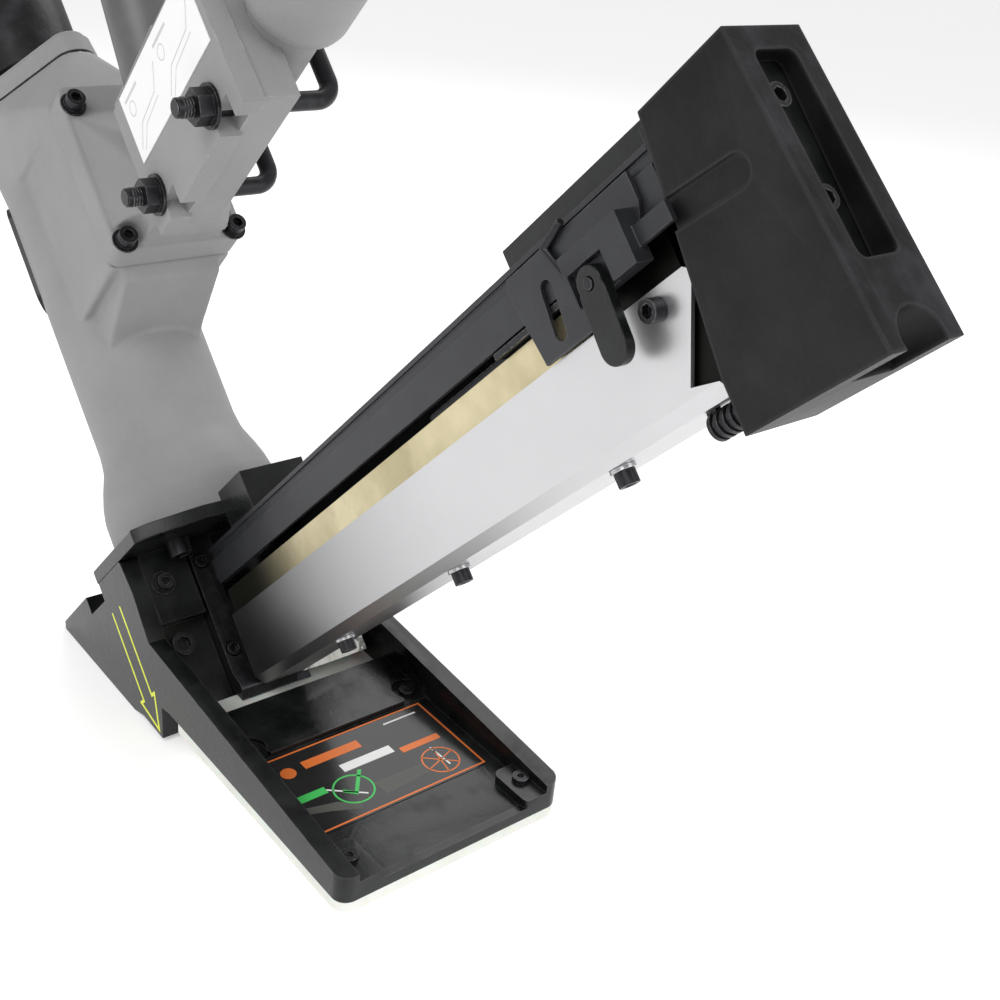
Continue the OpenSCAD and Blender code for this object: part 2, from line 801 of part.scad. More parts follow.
end_bracket();
rubber_boot();
boot_screws();
pusher_foot();
pusher_plate();
pusher_block();
wire_hook();
lever_pin();
pusher_lever();
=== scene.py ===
"""Flooring nailer: finished pieces, finishes and stage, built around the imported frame."""
import json
import math

import bmesh
import bpy
from bpy.props import FloatProperty, FloatVectorProperty, PointerProperty
from mathutils import Euler, Matrix, Vector


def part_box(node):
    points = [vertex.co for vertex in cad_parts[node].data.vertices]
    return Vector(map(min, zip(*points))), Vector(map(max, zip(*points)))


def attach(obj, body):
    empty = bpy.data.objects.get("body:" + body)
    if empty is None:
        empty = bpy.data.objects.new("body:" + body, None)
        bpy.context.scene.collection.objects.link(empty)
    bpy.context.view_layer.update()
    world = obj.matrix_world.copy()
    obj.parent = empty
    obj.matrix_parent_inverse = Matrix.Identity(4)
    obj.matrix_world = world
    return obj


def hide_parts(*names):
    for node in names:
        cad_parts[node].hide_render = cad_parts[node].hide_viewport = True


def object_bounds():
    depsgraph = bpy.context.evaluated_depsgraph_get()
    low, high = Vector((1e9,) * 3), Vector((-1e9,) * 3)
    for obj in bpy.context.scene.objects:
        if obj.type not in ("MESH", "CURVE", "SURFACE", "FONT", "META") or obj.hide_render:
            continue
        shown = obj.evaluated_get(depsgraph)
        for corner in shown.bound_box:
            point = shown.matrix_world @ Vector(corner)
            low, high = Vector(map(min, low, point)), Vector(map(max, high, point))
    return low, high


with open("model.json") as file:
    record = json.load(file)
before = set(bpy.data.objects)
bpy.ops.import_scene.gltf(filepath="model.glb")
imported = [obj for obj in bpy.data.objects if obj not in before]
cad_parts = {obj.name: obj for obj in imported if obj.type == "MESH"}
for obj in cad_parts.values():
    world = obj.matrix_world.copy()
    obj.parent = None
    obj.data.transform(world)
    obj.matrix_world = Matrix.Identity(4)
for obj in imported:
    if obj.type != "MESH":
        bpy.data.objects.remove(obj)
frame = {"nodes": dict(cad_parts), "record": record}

bl_info = {
    "name": "Flooring Nailer",
    "version": (1, 0, 0),
    "blender": (4, 5, 0),
    "location": "View3D > Sidebar > Nailer",
    "description": "Builds the finished pieces of a flooring nailer on its frame",
    "category": "Object",
}

MM = 0.001
CAD_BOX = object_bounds()
RECORD = frame["record"]
MOUNTS = {mount["name"]: mount for mount in RECORD["mounts"]}
SLOT_OF = {part["node"]: part["material_slot"] for part in RECORD["subparts"]}
BODY_OF = {node: body for body, nodes in RECORD["behaviour"]["bodies"].items() for node in nodes}

# The tool frame: BACK runs up the magazine, UP runs up the driver, and the exit is its origin.
EXIT = Vector(MOUNTS["driver_exit"]["pos_m"])
UP = Vector(MOUNTS["strike_face"]["axis"]).normalized()
BACK = Vector(MOUNTS["air_inlet"]["axis"]).normalized()
SIDE = Vector((0.0, 1.0, 0.0))
TOOL = Matrix((BACK, SIDE, UP)).transposed().to_4x4()
TOOL.translation = EXIT


def in_tool(a, b, c):
    """The point a, b, c of the tool frame, given in millimetres, in the row frame."""
    return EXIT + MM * (a * BACK + b * SIDE + c * UP)


# ---------------------------------------------------------------- shader maths

NOISE_ROUGHNESS = 0.55
BEVEL_SAMPLES = 6


class Value:
    """A shader socket that takes part in Python sums."""

    def __init__(self, sheet, socket):
        self.sheet = sheet
        self.socket = socket

    def _sum(self, operation, left, right):
        return self.sheet.node("ShaderNodeMath", {"operation": operation}, {0: left, 1: right})[0]

    def __add__(self, other):
        return self._sum("ADD", self, other)

    def __radd__(self, other):
        return self._sum("ADD", other, self)

    def __sub__(self, other):
        return self._sum("SUBTRACT", self, other)

    def __rsub__(self, other):
        return self._sum("SUBTRACT", other, self)

    def __mul__(self, other):
        return self._sum("MULTIPLY", self, other)

    def __rmul__(self, other):
        return self._sum("MULTIPLY", other, self)

    def between(self, low, high):
        """0 below low and 1 above high, with a smooth step between."""
        settings = {"interpolation_type": "SMOOTHSTEP"}
        inputs = {"Value": self, "From Min": low, "From Max": high}
        return self.sheet.node("ShaderNodeMapRange", settings, inputs)[0]


class Outputs:
    """A node's outputs, each as a Value."""

    def __init__(self, sheet, node):
        self.sheet = sheet
        self.node = node

    def __getitem__(self, key):
        return Value(self.sheet, self.node.outputs[key])


class Finish:
    """One material and the tools to lay its nodes."""

    def __init__(self, name):
        self.material = bpy.data.materials.new(name)
        self.material.use_nodes = True
        self.tree = self.material.node_tree
        self.tree.nodes.clear()
        self.surface = self.tree.nodes.new("ShaderNodeBsdfPrincipled")
        output = self.tree.nodes.new("ShaderNodeOutputMaterial")
        self.tree.links.new(self.surface.outputs[0], output.inputs["Surface"])
        self.place = self.node("ShaderNodeTexCoord")["Object"]

    def node(self, kind, settings=None, inputs=None):
        """A new node: its settings are set first, then its sockets' values or links."""
        made = self.tree.nodes.new(kind)
        for key, value in (settings or {}).items():
            setattr(made, key, value)
        for key, value in (inputs or {}).items():
            self._feed(made.inputs[key], value)
        return Outputs(self, made)

    def _feed(self, socket, value):
        if isinstance(value, Value):
            self.tree.links.new(value.socket, socket)
        else:
            socket.default_value = value

    def set(self, **values):
        """Sets or links the surface's sockets, with underscores for spaces in their names."""
        for key, value in values.items():
            if isinstance(value, tuple) and len(value) == 3:
                value = (*value, 1.0)
            self._feed(self.surface.inputs[key.replace("_", " ")], value)
        return self

    def vectors(self, operation, first, second):
        """A Vector Math node's outputs."""
        return self.node("ShaderNodeVectorMath", {"operation": operation}, {0: first, 1: second})

    def normal(self):
        """The surface's own normal, before any bump."""
        return self.node("ShaderNodeNewGeometry")["Normal"]

    def noise(self, scale, detail, stretch=None):
        """Noise of about scale spots per metre, squeezed by a factor along each axis."""
        place = self.vectors("MULTIPLY", self.place, stretch)[0] if stretch else self.place
        inputs = {"Vector": place, "Scale": scale, "Detail": detail, "Roughness": NOISE_ROUGHNESS}
        return self.node("ShaderNodeTexNoise", None, inputs)["Fac"]

    def mix(self, factor, first, second):
        """Colour between first and second."""
        inputs = {0: factor}
        for key, colour in ((6, first), (7, second)):
            inputs[key] = (*colour, 1.0) if isinstance(colour, tuple) else colour
        return self.node("ShaderNodeMix", {"data_type": "RGBA", "clamp_factor": True}, inputs)[2]

    def edges(self, radius, low=0.012, high=0.10):
        """1 within about radius of an edge or a corner, 0 on flats."""
        rounded = self.node("ShaderNodeBevel", {"samples": BEVEL_SAMPLES}, {"Radius": radius})[0]
        match = self.vectors("DOT_PRODUCT", rounded, self.normal())["Value"]
        return (1.0 - match).between(low, high)

    def along(self, direction, start, end):
        """0 at start and 1 at end, measured in metres along a direction of the row frame."""
        return self.vectors("DOT_PRODUCT", self.place, tuple(direction))["Value"].between(start, end)

    def facing(self, direction, low, high):
        """0 to 1 as the surface turns toward a direction of the row frame."""
        return self.vectors("DOT_PRODUCT", self.normal(), tuple(direction))["Value"].between(low, high)

    def bump(self, height, distance):
        """Raises the surface by height times distance, in metres."""
        self.set(Normal=self.node("ShaderNodeBump", None, {"Height": height, "Distance": distance})[0])
        return self


# ---------------------------------------------------------------- finishes


# The first colour below is both rubbed paint and a painted highlight on black edges.
RUBBED_PAINT_AND_HIGHLIGHT = (0.11, 0.11, 0.105)
RUBBED_COAT = (0.55, 0.55, 0.55)
RUBBED_STEEL = (0.33, 0.33, 0.33)
SCUFF = (0.16, 0.16, 0.16)
DUST = (0.20, 0.20, 0.19)
UPWARD = (0.0, 0.0, 1.0)
# Where finishes change up the magazine, in metres along BACK from the row frame's origin; these ranges set
# the painted shading on the cover and the painted shade at both ends of the strip.
COVER_PAINTED_SHADING = (-0.06, 0.19)
STRIP_LEAVES_NOSE_SHADE = (-0.005, 0.07)
STRIP_ENTERS_PUSHER_SHADE = (0.276, 0.290)


def coloured(name):
    """A colour from the panel, as a plain tuple."""
    return tuple(getattr(bpy.context.scene.nailer_colours, name))


def scaled(colour, factor, lift=0.0):
    """The colour made brighter or darker by factor, and then raised by lift."""
    return tuple(factor * part + lift for part in colour)


def black_casting():
    """Semi-gloss black paint over a casting, lighter on its edges, partly as rub wear and partly as painted
    highlight.
    """
    coat = Finish("black_casting")
    base = coloured("black_paint")
    patch = coat.noise(38, 5)
    speck = coat.noise(900, 3)
    colour = coat.mix(patch.between(0.35, 0.7), base, scaled(base, 1.9, 0.004))
    # Lighter edges: rub wear and painted highlight together.
    worn = coat.edges(0.0011) * (0.35 + 0.65 * coat.noise(160, 5).between(0.38, 0.62))
    colour = coat.mix(worn * 0.40, colour, RUBBED_PAINT_AND_HIGHLIGHT)
    dust = coat.facing(UPWARD, 0.3, 0.95) * coat.noise(70, 6).between(0.45, 0.8)
    colour = coat.mix(dust * 0.06, colour, DUST)
    coat.set(Base_Color=colour, Roughness=0.20 + 0.16 * patch + 0.20 * dust, IOR=1.38)
    return coat.bump(speck * 0.6 + coat.noise(260, 3) * 0.8, 0.00010)


def grey_casting():
    """Fine matt powder coat on a die casting."""
    coat = Finish("grey_casting")
    base = coloured("grey_coat")
    patch = coat.noise(22, 5)
    grain = coat.noise(1500, 2)
    colour = coat.mix(patch.between(0.3, 0.75), scaled(base, 0.93), scaled(base, 1.07))
    colour = coat.mix(grain.between(0.35, 0.65) * 0.18, colour, scaled(base, 1.35))
    worn = coat.edges(0.0013) * coat.noise(120, 6).between(0.48, 0.62)
    colour = coat.mix(worn * 0.35, colour, RUBBED_COAT)
    scuff = coat.noise(60, 6, (1.0, 1.0, 5.0)).between(0.66, 0.78)
    colour = coat.mix(scuff * 0.16, colour, SCUFF)
    coat.set(Base_Color=colour, Roughness=0.52 + 0.14 * grain, IOR=1.45)
    return coat.bump(grain + coat.noise(420, 3) * 0.7, 0.00012)


def black_oxide():
    """Oiled black oxide on screws and bolts."""
    coat = Finish("black_oxide")
    patch = coat.noise(240, 5)
    colour = coat.mix(patch, (0.010, 0.010, 0.011), (0.045, 0.046, 0.05))
    worn = coat.edges(0.0006) * coat.noise(600, 4).between(0.35, 0.65)
    colour = coat.mix(worn * 0.7, colour, RUBBED_STEEL)
    coat.set(Base_Color=colour, Metallic=0.75, Roughness=0.24 + 0.26 * patch)
    return coat.bump(coat.noise(1800, 3), 0.00005)


def bare_steel(name="steel", tint=(0.56, 0.56, 0.57), rough=0.24):
    """Machined metal of that tint, with fine lines across the tool."""
    coat = Finish(name)
    lines = coat.noise(300, 4, (6.0, 1.0, 6.0))
    patch = coat.noise(60, 5)
    colour = coat.mix(patch.between(0.35, 0.7), scaled(tint, 0.72), tint)
    coat.set(Base_Color=colour, Metallic=1.0, Roughness=rough + 0.16 * lines)
    return coat.bump(lines, 0.00004)


def polished():
    """Polished sheet, a little bowed and oily."""
    coat = Finish("polished")
    wave = coat.noise(45, 3)
    smear = coat.noise(110, 6, (1.0, 2.5, 1.0))
    colour = coat.mix(smear.between(0.4, 0.75), (0.84, 0.83, 0.78), (0.55, 0.54, 0.47))
    coat.set(Base_Color=colour, Metallic=1.0, Roughness=0.06 + 0.22 * smear.between(0.45, 0.8))
    return coat.bump(wave, 0.0016)


def silver_cover():
    """Satin cover with painted shading, dark toward the nose and bright toward the rear, with a fine grain.
    """
    coat = Finish("silver_cover")
    lines = coat.noise(520, 3)
    patch = coat.noise(16, 4)
    # Painted shading: the colour runs from dark at the nose to bright at the rear.
    light = coat.along(BACK, *COVER_PAINTED_SHADING)
    colour = coat.mix(light, (0.12, 0.12, 0.125), (0.60, 0.60, 0.61))
    colour = coat.mix(patch.between(0.4, 0.7) * 0.12, colour, (0.42, 0.42, 0.43))
    coat.set(Base_Color=colour, Metallic=0.92, Roughness=0.30 + 0.07 * patch + 0.04 * lines)
    return coat.bump(lines, 0.00003)


def gold_track():
    """Yellow passivated strip, rubbed by the fasteners, with painted shade that darkens both ends."""
    coat = Finish("gold_track")
    rub = coat.noise(90, 6, (0.5, 3.0, 0.5))
    patch = coat.noise(24, 5)
    colour = coat.mix(patch.between(0.3, 0.7), (0.46, 0.40, 0.24), (0.70, 0.62, 0.41))
    colour = coat.mix(rub.between(0.55, 0.75) * 0.5, colour, (0.36, 0.31, 0.20))
    # Painted shade: the strip turns near black toward the nose.
    out_of_nose_shade = coat.along(BACK, *STRIP_LEAVES_NOSE_SHADE)
    colour = coat.mix(out_of_nose_shade, (0.03, 0.03, 0.02), colour)
    # Painted shade: the strip turns near black from the pusher lever back to the boot.
    into_pusher_shade = coat.along(BACK, *STRIP_ENTERS_PUSHER_SHADE)
    colour = coat.mix(into_pusher_shade, colour, (0.006, 0.006, 0.005))
    coat.set(Base_Color=colour, Metallic=0.85, Roughness=0.30 + 0.15 * rub)
    return coat.bump(rub, 0.00006)


def rail_grey():
    """Dark grey phosphate coat on pressed steel."""
    coat = Finish("rail_grey")
    patch = coat.noise(55, 5)
    base = coloured("rail_coat")
    colour = coat.mix(patch.between(0.35, 0.7), scaled(base, 0.8), scaled(base, 1.15))
    worn = coat.edges(0.0006) * coat.noise(300, 4).between(0.3, 0.6)
    colour = coat.mix(worn * 0.5, colour, (0.20, 0.20, 0.21))
    coat.set(Base_Color=colour, Metallic=0.1, Roughness=0.30 + 0.18 * patch, IOR=1.42)
    return coat.bump(coat.noise(1100, 3), 0.00006)


def tube_grey():
    """Grey paint on drawn tube."""
    coat = Finish("tube_grey")
    patch = coat.noise(45, 5)
    colour = coat.mix(patch, (0.085, 0.085, 0.088), (0.17, 0.17, 0.172))
    worn = coat.edges(0.0008) * coat.noise(200, 4).between(0.4, 0.6)
    colour = coat.mix(worn * 0.5, colour, (0.35, 0.35, 0.35))
    coat.set(Base_Color=colour, Metallic=0.2, Roughness=0.36 + 0.15 * patch)
    return coat.bump(coat.noise(900, 3), 0.00008)


def rubber(name="rubber"):
    """Moulded rubber, greyed on its edges and on the faces that are turned to the rear."""
    coat = Finish(name)
    patch = coat.noise(28, 6)
    fine = coat.noise(420, 5)
    base = coloured("rubber")
    colour = coat.mix(patch.between(0.35, 0.72), base, scaled(base, 1.9, 0.004))
    edge = coat.edges(0.0022, 0.004, 0.08)
    colour = coat.mix(edge * (0.15 + 0.5 * coat.noise(90, 5)), colour, (0.060, 0.058, 0.062))
    bloom = coat.noise(60, 6).between(0.42, 0.8)
    rear = coat.facing(BACK, 0.6, 0.95)
    colour = coat.mix(bloom * (0.10 + 0.45 * rear), colour, (0.060, 0.057, 0.068))
    coat.set(Base_Color=colour, Roughness=0.34 + 0.22 * patch + 0.10 * edge, IOR=1.3)
    return coat.bump(fine * 0.7 + coat.noise(120, 4), 0.00018)


def sole_nylon():
    """Milky nylon, scuffed underneath."""
    coat = Finish("sole_nylon")
    patch = coat.noise(35, 5)
    scratch = coat.noise(160, 6, (0.3, 3.0, 1.0))
    colour = coat.mix(patch.between(0.3, 0.75), (0.70, 0.72, 0.66), (0.82, 0.84, 0.79))
    colour = coat.mix(scratch.between(0.62, 0.72) * 0.2, colour, (0.45, 0.45, 0.40))
    coat.set(Base_Color=colour, Roughness=0.34 + 0.2 * patch, Subsurface_Weight=0.25, Subsurface_Scale=0.004)
    return coat.bump(scratch, 0.00008)


def film(name, first, second, rough):
    """Printed film or ink between two shades, with its lowest roughness."""
    coat = Finish(name)
    patch = coat.noise(50, 4)
    coat.set(Base_Color=coat.mix(patch, first, second), Roughness=rough + 0.10 * patch, IOR=1.34)
    return coat.bump(coat.noise(240, 3), 0.00004)


def brass():
    """Turned brass."""
    coat = Finish("brass")
    patch = coat.noise(160, 5)
    colour = coat.mix(patch, (0.55, 0.38, 0.14), (0.80, 0.62, 0.30))
    coat.set(Base_Color=colour, Metallic=1.0, Roughness=0.20 + 0.2 * patch)
    return coat.bump(coat.noise(1500, 3), 0.00004)


INK_ROUGHNESS = 0.35
INKS = {
    "ink_orange": ((0.62, 0.13, 0.02), (0.82, 0.22, 0.05)),
    "ink_green": ((0.03, 0.42, 0.07), (0.08, 0.62, 0.14)),
    "ink_white": ((0.72, 0.72, 0.70), (0.86, 0.86, 0.85)),
    "ink_grey": ((0.06, 0.06, 0.055), (0.10, 0.10, 0.09)),
    "ink_yellow": ((0.72, 0.78, 0.03), (0.86, 0.90, 0.08)),
    "ink_line": ((0.52, 0.52, 0.53), (0.62, 0.62, 0.63)),
}
MAKERS = {
    "black_casting": black_casting, "grey_casting": grey_casting, "black_oxide": black_oxide,
    "steel": bare_steel, "polished": polished, "silver_cover": silver_cover,
    "gold_track": gold_track, "rail_grey": rail_grey, "tube_grey": tube_grey,
    "rubber": rubber, "sole_nylon": sole_nylon, "brass": brass,
    "gasket": lambda: rubber("gasket"),
    "foot_alloy": lambda: bare_steel("foot_alloy", (0.62, 0.62, 0.63), 0.3),
    "label": lambda: film("label", (0.012, 0.012, 0.013), (0.026, 0.026, 0.026), 0.14),
    "label_white": lambda: film("label_white", (0.82, 0.82, 0.82), (0.90, 0.90, 0.90), 0.30),
    "badge": lambda: film("badge", (0.020, 0.020, 0.022), (0.045, 0.045, 0.047), 0.22),
}
made_finishes = {}


def finish_named(name):
    """The material of that name, made the first time it is asked for."""
    if name not in made_finishes:
        if name in INKS:
            made_finishes[name] = film(name, *INKS[name], INK_ROUGHNESS).material
        else:
            made_finishes[name] = MAKERS[name]().material
    return made_finishes[name]


# ---------------------------------------------------------------- mesh tools

# Corners closer than this, in metres, are one, and faces flatter to each other than this are joined.
SAME_CORNER = 2e-6
FLAT_DEGREES = 0.6
# An edge that turns by more than this is rounded and drawn sharp.
SHARP_DEGREES = 34


def link(name, form):
    """A new object from a bmesh, which is freed."""
    data = bpy.data.meshes.new(name)
    form.normal_update()
    form.to_mesh(data)
    form.free()
    piece = bpy.data.objects.new(name, data)
    bpy.context.scene.collection.objects.link(piece)
    return piece


def hand_over(piece, node, replace=True, finish=None):
    """Gives a piece its finish and slot, lets it ride with the node's body, and may hide the node."""
    piece.data.materials.clear()
    piece.data.materials.append(finish_named(finish or SLOT_OF[node]))
    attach(piece, BODY_OF[node])
    if replace:
        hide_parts(node)
    return piece


def clean_copy(node):
    """A bmesh of a CAD node with its flat faces whole."""
    form = bmesh.new()
    form.from_mesh(frame["nodes"][node].data)
    bmesh.ops.remove_doubles(form, verts=form.verts, dist=SAME_CORNER)
    flat = math.radians(FLAT_DEGREES)
    bmesh.ops.dissolve_limit(form, angle_limit=flat, verts=form.verts, edges=form.edges)
    return form


def shade(piece, angle):
    """Smooth shading with sharp edges above angle, in degrees."""
    piece.data.shade_smooth()
    piece.data.set_sharp_from_angle(angle=math.radians(angle))
    return piece


def plain(node, angle):
    """The node's shape as it is, smooth across edges below angle, in degrees."""
    return hand_over(shade(link(node + "_skin", clean_copy(node)), angle), node)


def dressed(node, radius, segments=2, finish=None):
    """The node's shape with its edges rounded to radius, in millimetres."""
    piece = shade(link(node + "_skin", clean_copy(node)), SHARP_DEGREES)
    round_edges = piece.modifiers.new("round_edges", "BEVEL")
    round_edges.width = radius * MM
    round_edges.segments = segments
    round_edges.limit_method = "ANGLE"
    round_edges.angle_limit = math.radians(SHARP_DEGREES)
    round_edges.use_clamp_overlap = True
    round_edges.harden_normals = True
    return hand_over(piece, node, finish=finish)


def tool_span(node):
    """Lowest and highest corner of a node in the tool frame, in millimetres."""
    back = TOOL.inverted()
    points = [back @ vertex.co / MM for vertex in frame["nodes"][node].data.vertices]
    return (Vector([min(p[i] for p in points) for i in range(3)]),
            Vector([max(p[i] for p in points) for i in range(3)]))


def screw_plugs(form):
    """Fills the covered screw holes at the handle joint, whose thin walls a grid would lose."""
    low, high = tool_span("flange_screws")
    face = tool_span("handle_gasket")[0].x
    inset, radius, depth = 6.2, 3.3, 20.0
    upright = Matrix.Rotation(math.radians(90), 4, "Y")
    for b in (low.y + inset, high.y - inset):
        for c in (low.z + inset, high.z - inset):
            place = TOOL @ Matrix.Translation((MM * (face - depth / 2), MM * b, MM * c)) @ upright
            bmesh.ops.create_cone(form, cap_ends=True, segments=24, radius1=MM * radius,
                                  radius2=MM * radius, depth=MM * depth, matrix=place)


def moulded(node, voxel, rounds, plugs=False):
    """The node as one casting, softened in some rounds on a grid of that voxel, in millimetres."""
    form = clean_copy(node)
    if plugs:
        screw_plugs(form)
    piece = link(node + "_cast", form)
    skin = piece.modifiers.new("skin", "REMESH")
    skin.mode = "VOXEL"
    skin.voxel_size = voxel * MM
    skin.use_smooth_shade = True
    soften = piece.modifiers.new("soften", "SMOOTH")
    soften.factor = 0.5
    soften.iterations = rounds
    return hand_over(piece, node)


def thin(outline, place, thickness):
    """Faces of a flat shape: outline points go through place(u, v, w), w from 0 to thickness."""
    form = bmesh.new()
    for loop in outline:
        low = [form.verts.new(place(u, v, 0.0)) for u, v in loop]
        high = [form.verts.new(place(u, v, thickness)) for u, v in loop]
        count = len(loop)
        form.faces.new(high)
        form.faces.new(low[::-1])
        for i in range(count):
            j = (i + 1) % count
            form.faces.new((low[i], low[j], high[j], high[i]))
    bmesh.ops.recalc_face_normals(form, faces=form.faces)
    return form


# A line's corner grows to at most its width over this.
SHARPEST_MITRE = 0.35


def stroke(points, width, closed=False):
    """Quads of a line of that width through the points, mitred where it turns."""
    count = len(points)
    sides = []
    for i, point in enumerate(points):
        here = Vector(point)
        before = Vector(points[i - 1]) if closed or i else here
        after = Vector(points[(i + 1) % count]) if closed or i < count - 1 else here
        into = (here - before).normalized() if (here - before).length else (after - here).normalized()
        out = (after - here).normalized() if (after - here).length else into
        across = Vector((-(into + out).y, (into + out).x)).normalized()
        half = 0.5 * width / max(SHARPEST_MITRE, across.dot(Vector((-into.y, into.x))))
        sides.append((here + across * half, here - across * half))
    spans = count if closed else count - 1
    return [[sides[i][0], sides[i][1], sides[(i + 1) % count][1], sides[(i + 1) % count][0]]
            for i in range(spans)]


def ring(centre, radius, steps=48):
    """Points round a circle."""
    turns = [math.radians(360.0 * i / steps) for i in range(steps)]
    return [(centre[0] + radius * math.cos(t), centre[1] + radius * math.sin(t)) for t in turns]


# Heights of printed marks, in metres; where marks cross, the higher one is seen.
INK_HIGH = 0.00006
INK_MIDDLE = 0.00005
INK_LOW = 0.00004


def printed(name, node, ink, outline, place, thickness=INK_HIGH):
    """A printed mark on a node, as a very thin piece."""
    return hand_over(link(name, thin(outline, place, thickness)), node, replace=False, finish=ink)


def turned(name, profile, steps, place):
    """A lathe form: profile is (radius, height) pairs in millimetres, place sets its axis."""
    form = bmesh.new()
    rows = []
    for radius, height in profile:
        row = []
        for k in range(steps):
            t = 2 * math.pi * k / steps
            point = Vector((radius * math.cos(t), radius * math.sin(t), height)) * MM
            row.append(form.verts.new(place @ point))
        rows.append(row)
    for low, high in zip(rows, rows[1:]):
        for k in range(steps):
            m = (k + 1) % steps
            form.faces.new((low[k], low[m], high[m], high[k]))
    form.faces.new(rows[0][::-1])
    form.faces.new(rows[-1])
    bmesh.ops.recalc_face_normals(form, faces=form.faces)
    return link(name, form)


def dress_all(radii):
    """Dresses each node of a table of node to edge radius, in millimetres."""
    for node, radius in radii.items():
        dressed(node, radius)


# ---------------------------------------------------------------- base

DECK_LABEL_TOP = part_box("base_label")[1][2]
CHEEK_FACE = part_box("base_frame")[0][1]


def on_deck(u, v, w):
    """u to the right and v toward the nose, seen from behind the base."""
    return Vector((-v * MM, u * MM, DECK_LABEL_TOP + w))


def on_cheek(u, v, w):
    """u along the magazine and v up the driver, on the outer face of the left cheek."""
    point = in_tool(u, 0.0, v)
    return Vector((point.x, CHEEK_FACE - w, point.z))


def flat_label(node):
    """The node's sheet as it is, with its flat faces."""
    return hand_over(link(node + "_skin", clean_copy(node)), node)


def bar(u0, v0, u1, v1):
    """Corners of an upright bar."""
    return [(u0, v0), (u1, v0), (u1, v1), (u0, v1)]


def deck_border():
    """The border's line, set in from the label's edge."""
    low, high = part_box("base_label")
    left, right = low[1] / MM + 0.5, high[1] / MM - 1.5
    top, bottom = -low[0] / MM - 1.0, -high[0] / MM + 1.5
    return stroke([(left, top), (right, top), (right, bottom), (left, bottom)], 1.0)


def deck_print():
    """Border, bars, two ring marks and a band, with plain bars in place of words."""
    wheel, wheel_radius = Vector((28.0, -25.0)), 9.0
    tick_ring, tick_radius = Vector((-18.0, -20.5)), 9.5
    dot, dot_radius = (-37.5, 4.5), 3.8
    tick = [(-23.0, -19.0), (-18.5, -23.5), (-8.5, -10.5)]
    band = [(-7.0, -31.5), (19.0, -29.5), (19.0, -22.5), (-8.5, -21.5)]
    bend = [(-44.0, -20.0), (-29.0, -24.0), (-20.0, -31.0), (-22.0, -34.0), (-34.0, -28.0), (-45.0, -24.0)]

    orange = deck_border() + stroke(ring(wheel, wheel_radius), 0.8, closed=True)
    for turn in (20.0, 80.0, 140.0):
        spoke = wheel_radius * Vector((math.cos(math.radians(turn)), math.sin(math.radians(turn))))
        orange += stroke([wheel - spoke, wheel + spoke], 0.7)
    orange += [ring(dot, dot_radius, 32), bar(-29.0, 3.0, 2.0, 8.5), bar(16.0, -11.5, 38.0, -7.5)]
    green = stroke(ring(tick_ring, tick_radius), 0.9, closed=True) + stroke(tick, 1.8)
    green += [bar(-44.0, -16.5, -29.0, -12.0)]
    white = [bar(-15.0, -8.5, 13.0, -3.0), bar(20.0, 11.0, 39.0, 12.0)]
    white += stroke([tick_ring + Vector((-11.0, 6.0)), tick_ring + Vector((4.0, -6.0))], 0.9)
    white += stroke([wheel + Vector((1.0, 10.0)), wheel + Vector((2.0, -5.0))], 0.9)

    printed("deck_print_orange", "base_label", "ink_orange", orange, on_deck)
    printed("deck_print_green", "base_label", "ink_green", green, on_deck)
    printed("deck_print_white", "base_label", "ink_white", white, on_deck)
    printed("deck_print_grey", "base_label", "ink_grey", [band, bend], on_deck, INK_LOW)


def cheek_arrow():
    """Outlined arrow that points down the driver's line."""
    middle, half, barb = -11.0, 6.6, 11.0
    tail, neck, tip = 69.0, 21.0, 4.0
    line = 1.7
    outline = [(middle - half, tail), (middle - half, neck), (middle - barb, neck), (middle, tip),
               (middle + barb, neck), (middle + half, neck), (middle + half, tail)]
    printed("cheek_arrow", "base_frame", "ink_yellow", stroke(outline, line), on_cheek)


class NAILER_OT_base(bpy.types.Operator):
    """Build the sole, the base casting, its screws and its printed marks"""

    bl_idname = "nailer.base"
    bl_label = "Base"

    def execute(self, context):
        sizes = context.scene.nailer_sizes
        dressed("sole_plate", 0.6)
        dressed("base_frame", sizes.casting_edge, 3)
        dressed("base_screws", 0.25)
        flat_label("base_label")
        deck_print()
        cheek_arrow()
        return {"FINISHED"}


# ---------------------------------------------------------------- nose


class NAILER_OT_nose(bpy.types.Operator):
    """Build the nose casting, its plates, guard and screws"""

    bl_idname = "nailer.nose"
    bl_label = "Nose"

    def execute(self, context):
        sizes = context.scene.nailer_sizes
        dressed("nose_casting", sizes.casting_edge)
        dressed("nose_flange", 1.0, 3)
        dress_all({"guide_plate_rear": 0.6, "guide_plate_front": 0.6, "rail_mount": 0.6})
        for node in ("nose_bolts", "nose_screws", "guide_bolts", "guard_screws", "flange_bolts"):
            dressed(node, sizes.screw_edge)
        dressed("chip_guard", 0.25)
        return {"FINISHED"}


# ---------------------------------------------------------------- body


class NAILER_OT_body(bpy.types.Operator):
    """Build the driver housing, head, strike cap and everything inside them"""

    bl_idname = "nailer.body"
    bl_label = "Body"

    def execute(self, context):
        sizes = context.scene.nailer_sizes
        moulded("main_housing", sizes.casting_voxel, rounds=9, plugs=True)
        dressed("head_cap", 1.6, 3)
        dress_all({"strike_cap": 0.8, "side_badge": 0.4})
        dress_all({"head_gasket": 0.15, "piston_ring": 0.15, "plunger_seal": 0.15, "bumper": 0.15})
        dress_all({"cylinder_sleeve": 0.4, "piston": 0.4, "driver_blade": 0.4, "plunger": 0.4})
        dressed("head_cap_screws", sizes.screw_edge)
        plain("plunger_spring", 60)
        return {"FINISHED"}


# ---------------------------------------------------------------- handle

LABEL_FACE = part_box("bracket_label")[0][1]


def on_bracket(u, v, w):
    """u along the handle and v up the driver, on the face of the bracket's label."""
    point = in_tool(u, 0.0, v)
    return Vector((point.x, LABEL_FACE - w, point.z))


